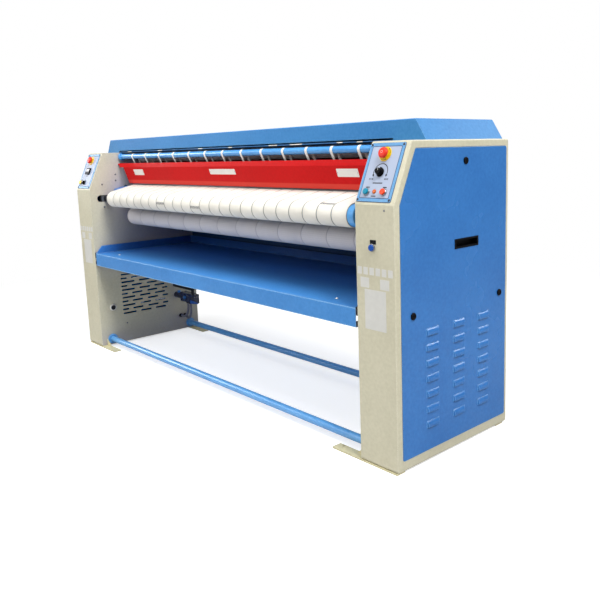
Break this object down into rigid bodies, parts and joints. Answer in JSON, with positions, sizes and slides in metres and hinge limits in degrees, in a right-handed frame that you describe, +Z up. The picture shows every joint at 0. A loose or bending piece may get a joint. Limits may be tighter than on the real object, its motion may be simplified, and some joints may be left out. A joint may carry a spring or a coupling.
{
  "type": "flatwork ironer",
  "caption": "Long cylinder ironer with feed belts, finger guard, ironing belts, receiving tray, sloping control panels and louvred housings.",
  "frame": {"origin": "on the floor, at the middle of the four floor bolts", "axes": "+X to the right along the rollers as seen from the feeding side, +Y from the feeding side to the back, +Z up"},
  "size_m": [3.018, 0.8335, 1.439],
  "materials": {
    "beige_paint": "smooth semi-gloss enamel",
    "blue_paint": "smooth semi-gloss enamel",
    "light_blue_paint": "smooth semi-gloss enamel",
    "red_paint": "gloss enamel",
    "grey_plate": "satin panel lacquer",
    "white_felt": "woven belting",
    "ironing_felt": "needled heat-resistant belting",
    "cotton_tape": "woven tape",
    "polished_steel": "polished and waxed",
    "machined_steel": "turned",
    "cast_housing": "machinery grey",
    "galvanised_sheet": "zinc coated",
    "black_pipe": "black paint",
    "black_plastic": "moulded",
    "dark_valve": "gloss dark lacquer",
    "grey_conduit": "ribbed sleeve",
    "drive_rubber": "matt",
    "black_rubber": "matt",
    "yellow_plastic": "moulded",
    "red_plastic": "moulded",
    "teal_plastic": "moulded",
    "blue_plastic": "moulded",
    "orange_lens": "translucent lens",
    "metal_bezel": "satin"
  },
  "bodies": {
    "frame": {"button_bezels": "metal_bezel", "cable_glands": "black_plastic", "control_box": "galvanised_sheet", "cover_pulls": "black_plastic", "drive_belt": "drive_rubber", "estop_collars": "yellow_plastic", "exhaust_fan": "galvanised_sheet", "feed_belts": "white_felt", "feed_table": "blue_paint", "floor_feet": "beige_paint", "gas_pipework": "black_pipe", "gas_valve": "dark_valve", "gearmotor": "cast_housing", "guide_tapes": "cotton_tape", "hood": "blue_paint", "ironing_belts": "ironing_felt", "left_casing": "beige_paint", "left_inner_wall": "beige_paint", "left_side_cover": "blue_paint", "panel_frames": "light_blue_paint", "panel_plates": "grey_plate", "pilot_lamp": "orange_lens", "rear_panel": "blue_paint", "right_casing": "beige_paint", "right_inner_wall": "beige_paint", "right_side_cover": "blue_paint", "rubber_buffers": "black_rubber", "shaft_bearings": "cast_housing", "temperature_controller": "black_plastic", "tie_bars": "light_blue_paint", "tray": "blue_paint", "valve_cable_a": "grey_conduit", "valve_cable_b": "grey_conduit"},
    "cylinder": {"heated_cylinder": "polished_steel", "cylinder_pulley": "cast_housing"},
    "feed_roller_front": {"feed_roller_front": "light_blue_paint"},
    "feed_roller_rear": {"feed_roller_rear": "light_blue_paint"},
    "tape_roller_upper": {"tape_roller_upper": "light_blue_paint"},
    "tape_roller_lower": {"tape_roller_lower": "machined_steel"},
    "ironing_roller_upper_front": {"ironing_roller_upper_front": "machined_steel"},
    "ironing_roller_lower_front": {"ironing_roller_lower_front": "machined_steel"},
    "ironing_roller_rear_upper": {"ironing_roller_rear_upper": "machined_steel"},
    "ironing_roller_rear_lower": {"ironing_roller_rear_lower": "machined_steel"},
    "motor_pulley": {"motor_pulley": "cast_housing"},
    "finger_guard": {"finger_guard": "red_paint"},
    "right_estop_cap": {"right_estop_cap": "red_plastic"},
    "left_estop_cap": {"left_estop_cap": "red_plastic"},
    "speed_knob": {"speed_knob": "black_plastic"},
    "start_button": {"start_button": "teal_plastic"},
    "stop_button": {"stop_button": "red_plastic"},
    "alarm_button": {"alarm_button": "yellow_plastic"},
    "selector_knob": {"selector_knob": "black_plastic"},
    "reset_button": {"reset_button": "blue_plastic"},
    "gas_cock_lever": {"gas_cock_lever": "blue_paint"},
    "left_cover_lock_top": {"left_cover_lock_top": "black_plastic"},
    "left_cover_lock_rear": {"left_cover_lock_rear": "black_plastic"},
    "left_cover_lock_front": {"left_cover_lock_front": "black_plastic"},
    "right_cover_lock_top": {"right_cover_lock_top": "black_plastic"},
    "right_cover_lock_rear": {"right_cover_lock_rear": "black_plastic"},
    "right_cover_lock_front": {"right_cover_lock_front": "black_plastic"}
  },
  "joints": [
    {"name": "cylinder_turn", "type": "hinge", "parent": "frame", "child": "cylinder", "pos_m": [0, 0.09, 1.12], "axis": [1, 0, 0], "continuous": true},
    {"name": "feed_roller_front_turn", "type": "hinge", "parent": "frame", "child": "feed_roller_front", "pos_m": [0, -0.272, 1.04], "axis": [1, 0, 0], "continuous": true},
    {"name": "feed_roller_rear_turn", "type": "hinge", "parent": "frame", "child": "feed_roller_rear", "pos_m": [0, -0.125, 1.106], "axis": [1, 0, 0], "continuous": true},
    {"name": "tape_roller_upper_turn", "type": "hinge", "parent": "frame", "child": "tape_roller_upper", "pos_m": [0, -0.144, 1.322], "axis": [1, 0, 0], "continuous": true},
    {"name": "tape_roller_lower_turn", "type": "hinge", "parent": "frame", "child": "tape_roller_lower", "pos_m": [0, -0.0896, 1.2109], "axis": [1, 0, 0], "continuous": true},
    {"name": "ironing_roller_upper_front_turn", "type": "hinge", "parent": "frame", "child": "ironing_roller_upper_front", "pos_m": [0, -0.012, 1.317], "axis": [1, 0, 0], "continuous": true},
    {"name": "ironing_roller_lower_front_turn", "type": "hinge", "parent": "frame", "child": "ironing_roller_lower_front", "pos_m": [0, -0.098, 0.909], "axis": [1, 0, 0], "continuous": true},
    {"name": "ironing_roller_rear_lower_turn", "type": "hinge", "parent": "frame", "child": "ironing_roller_rear_lower", "pos_m": [0, 0.25, 0.85], "axis": [1, 0, 0], "continuous": true},
    {"name": "ironing_roller_rear_upper_turn", "type": "hinge", "parent": "frame", "child": "ironing_roller_rear_upper", "pos_m": [0, 0.322, 1.315], "axis": [1, 0, 0], "continuous": true},
    {"name": "motor_pulley_turn", "type": "hinge", "parent": "frame", "child": "motor_pulley", "pos_m": [0, 0.06, 0.56], "axis": [1, 0, 0], "continuous": true},
    {"name": "finger_guard_swing", "type": "hinge", "parent": "frame", "child": "finger_guard", "pos_m": [0, -0.164, 1.268], "axis": [1, 0, 0], "range_deg": [0, 7], "stiffness_Nm_per_rad": 5, "springref_deg": -11.46},
    {"name": "right_estop_cap_press", "type": "slide", "parent": "frame", "child": "right_estop_cap", "axis": [0, 0.9149, -0.4037], "range_m": [0, 0.004], "stiffness_N_per_m": 800, "springref_m": -0.001},
    {"name": "left_estop_cap_press", "type": "slide", "parent": "frame", "child": "left_estop_cap", "axis": [0, 0.9149, -0.4037], "range_m": [0, 0.004], "stiffness_N_per_m": 800, "springref_m": -0.001},
    {"name": "start_button_press", "type": "slide", "parent": "frame", "child": "start_button", "axis": [0, 0.9149, -0.4037], "range_m": [0, 0.004], "stiffness_N_per_m": 500, "springref_m": -0.001},
    {"name": "stop_button_press", "type": "slide", "parent": "frame", "child": "stop_button", "axis": [0, 0.9149, -0.4037], "range_m": [0, 0.004], "stiffness_N_per_m": 500, "springref_m": -0.001},
    {"name": "alarm_button_press", "type": "slide", "parent": "frame", "child": "alarm_button", "axis": [0, 0.9149, -0.4037], "range_m": [0, 0.004], "stiffness_N_per_m": 500, "springref_m": -0.001},
    {"name": "reset_button_press", "type": "slide", "parent": "frame", "child": "reset_button", "axis": [0, 1, 0], "range_m": [0, 0.004], "stiffness_N_per_m": 500, "springref_m": -0.001},
    {"name": "speed_knob_turn", "type": "hinge", "parent": "frame", "child": "speed_knob", "pos_m": [1.384, -0.3339, 1.22559], "axis": [0, -0.9149, 0.4037], "range_deg": [-135, 135]},
    {"name": "selector_knob_turn", "type": "hinge", "parent": "frame", "child": "selector_knob", "pos_m": [-1.402, -0.36741, 1.14966], "axis": [0, -0.9149, 0.4037], "range_deg": [0, 90]},
    {"name": "right_cover_lock_top_turn", "type": "hinge", "parent": "frame", "child": "right_cover_lock_top", "pos_m": [1.5, 0.063, 1.261], "axis": [1, 0, 0], "range_deg": [0, 90]},
    {"name": "right_cover_lock_rear_turn", "type": "hinge", "parent": "frame", "child": "right_cover_lock_rear", "pos_m": [1.5, 0.316, 0.652], "axis": [1, 0, 0], "range_deg": [0, 90]},
    {"name": "right_cover_lock_front_turn", "type": "hinge", "parent": "frame", "child": "right_cover_lock_front", "pos_m": [1.5, -0.286, 0.65], "axis": [1, 0, 0], "range_deg": [0, 90]},
    {"name": "left_cover_lock_top_turn", "type": "hinge", "parent": "frame", "child": "left_cover_lock_top", "pos_m": [-1.5, 0.063, 1.261], "axis": [-1, 0, 0], "range_deg": [0, 90]},
    {"name": "left_cover_lock_rear_turn", "type": "hinge", "parent": "frame", "child": "left_cover_lock_rear", "pos_m": [-1.5, 0.316, 0.652], "axis": [-1, 0, 0], "range_deg": [0, 90]},
    {"name": "left_cover_lock_front_turn", "type": "hinge", "parent": "frame", "child": "left_cover_lock_front", "pos_m": [-1.5, -0.286, 0.65], "axis": [-1, 0, 0], "range_deg": [0, 90]},
    {"name": "gas_cock_lever_turn", "type": "hinge", "parent": "frame", "child": "gas_cock_lever", "pos_m": [-1.01, 0.176, 0.268], "axis": [0, 1, 0], "range_deg": [0, 90]}
  ],
  "couplings": [
    {"joint": "feed_roller_front_turn", "follows": "cylinder_turn", "ratio": 3.3981},
    {"joint": "feed_roller_rear_turn", "follows": "cylinder_turn", "ratio": 8.1395},
    {"joint": "tape_roller_upper_turn", "follows": "cylinder_turn", "ratio": -9.8591},
    {"joint": "tape_roller_lower_turn", "follows": "cylinder_turn", "ratio": -10.448},
    {"joint": "ironing_roller_upper_front_turn", "follows": "cylinder_turn", "ratio": -5.6032},
    {"joint": "ironing_roller_lower_front_turn", "follows": "cylinder_turn", "ratio": -3.0171},
    {"joint": "ironing_roller_rear_lower_turn", "follows": "cylinder_turn", "ratio": -5.6032},
    {"joint": "ironing_roller_rear_upper_turn", "follows": "cylinder_turn", "ratio": -5.6032},
    {"joint": "motor_pulley_turn", "follows": "cylinder_turn", "ratio": 3.1875}
  ]
}
